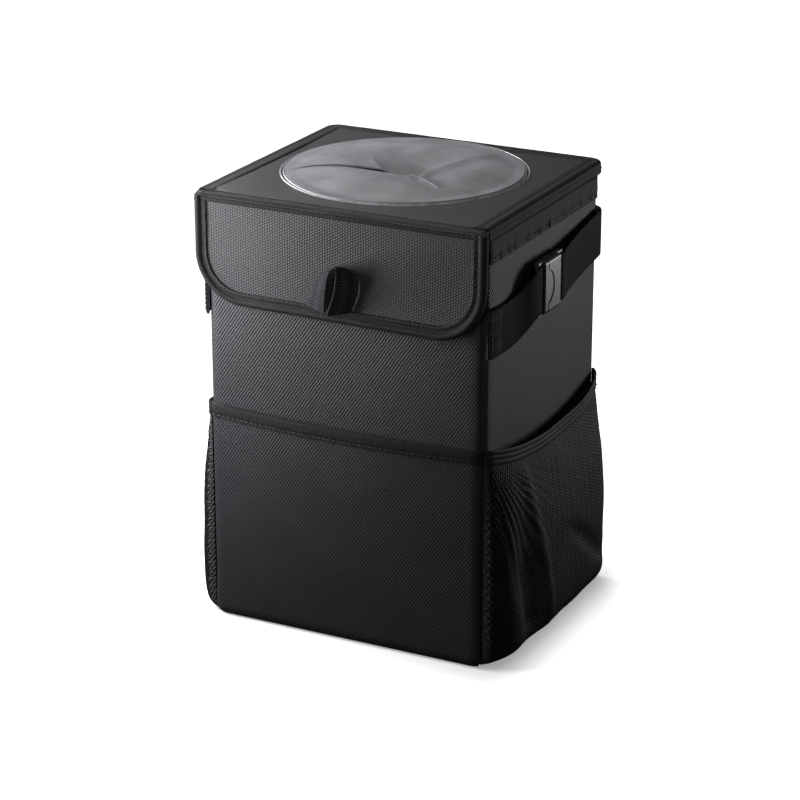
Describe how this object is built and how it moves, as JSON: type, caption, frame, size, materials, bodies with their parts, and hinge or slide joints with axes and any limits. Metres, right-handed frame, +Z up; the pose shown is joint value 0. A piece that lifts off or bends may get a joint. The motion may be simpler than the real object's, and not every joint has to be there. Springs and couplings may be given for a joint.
{
  "type": "car storage bag",
  "caption": "Soft box-shaped bag with a hinged lid, a round leaf opening, a front flap with a pull tab, a front pocket, gathered mesh side pockets and a buckled strap.",
  "frame": {"origin": "middle of the underside of the base", "axes": "+Z up, +X to the right seen from the front, +Y to the back; the front flap faces -Y"},
  "size_m": [0.24, 0.2098, 0.3009],
  "materials": {
    "shell_fabric": "black coated polyester oxford weave",
    "flap_fabric": "black coarse polyester weave with a dotted grain",
    "binding_tape": "black ribbed binding tape",
    "strap_webbing": "black ribbed polypropylene webbing",
    "pocket_mesh": "black knitted mesh",
    "elastic_band": "black ribbed elastic",
    "liner_film": "grey waterproof film",
    "stiffener_board": "grey foam-faced plastic board",
    "hook_and_loop": "black hook and loop pile",
    "leaf_rubber": "satin grey soft rubber sheet",
    "ring_plastic": "glossy pale grey moulded ring",
    "buckle_plastic": "satin black acetal"
  },
  "bodies": {
    "tub": {"front_panel": "shell_fabric", "back_panel": "shell_fabric", "left_panel": "shell_fabric", "right_panel": "shell_fabric", "base_panel": "shell_fabric", "front_board": "stiffener_board", "back_board": "stiffener_board", "left_board": "stiffener_board", "right_board": "stiffener_board", "base_board": "stiffener_board", "liner": "liner_film", "rim_binding": "binding_tape", "front_pocket": "shell_fabric", "front_pocket_binding": "binding_tape", "left_mesh_pocket": "pocket_mesh", "right_mesh_pocket": "pocket_mesh", "left_mesh_elastic": "elastic_band", "right_mesh_elastic": "elastic_band", "left_strap_tab": "strap_webbing", "right_strap_tab": "strap_webbing", "short_strap": "strap_webbing", "long_strap": "strap_webbing", "buckle_plug": "buckle_plastic", "buckle_socket": "buckle_plastic", "flap_loop_patch": "hook_and_loop", "lid_hinge_tape": "binding_tape"},
    "lid": {"lid_cover": "shell_fabric", "lid_board": "stiffener_board", "lid_lining": "liner_film", "lid_binding": "binding_tape", "opening_ring": "ring_plastic", "front_leaf": "leaf_rubber", "right_leaf": "leaf_rubber", "back_leaf": "leaf_rubber"},
    "flap": {"flap_panel": "flap_fabric", "flap_board": "stiffener_board", "flap_lining": "liner_film", "flap_binding": "binding_tape", "flap_hook_patch": "hook_and_loop", "pull_tab": "strap_webbing"}
  },
  "joints": [
    {"name": "lid_hinge", "type": "hinge", "parent": "tub", "child": "lid", "pos_m": [0, 0.09035, 0.2902], "axis": [-1, 0, 0], "range_deg": [0, 105]},
    {"name": "flap_fold", "type": "hinge", "parent": "lid", "child": "flap", "pos_m": [0, -0.09305, 0.2956], "axis": [-1, 0, 0], "range_deg": [0, 120]}
  ]
}
